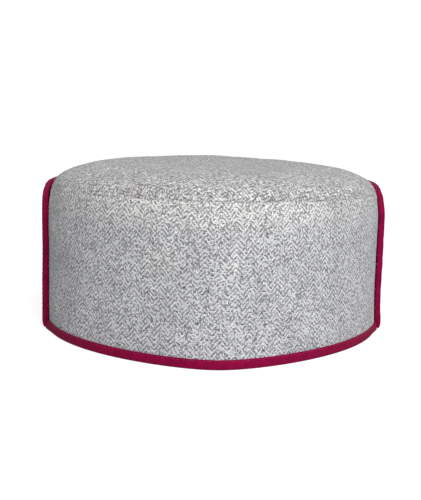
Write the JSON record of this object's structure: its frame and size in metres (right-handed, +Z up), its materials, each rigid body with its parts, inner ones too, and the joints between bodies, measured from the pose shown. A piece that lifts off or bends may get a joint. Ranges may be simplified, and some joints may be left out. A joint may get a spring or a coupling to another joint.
{
  "type": "himachali topi cap",
  "caption": "Round woollen cap with a flat soft crown, a turned-up front flap and bound edges, standing on its hem.",
  "frame": {"origin": "on the floor under the middle of the cap's box, in the plane of the hem's underside", "axes": "+Z up out of the crown, +Y towards the front flap where the wearer looks, +X towards the wearer's right"},
  "size_m": [0.1834, 0.2018, 0.0933],
  "materials": {
    "crown_tweed": "light grey herringbone wool tweed, matt and slightly fuzzy",
    "wall_tweed": "light grey herringbone wool tweed, matt and slightly fuzzy",
    "flap_velvet": "plain maroon velvet with a soft sheen at grazing angles",
    "hem_tape": "maroon bias tape, matt, folded over the hem and stitched",
    "flap_tape": "maroon bias tape, matt, folded over the flap's edge and stitched"
  },
  "bodies": {
    "root": {"crown": "crown_tweed", "side_wall": "wall_tweed", "front_flap": "flap_velvet", "hem_binding": "hem_tape", "flap_binding": "flap_tape"}
  },
  "joints": []
}
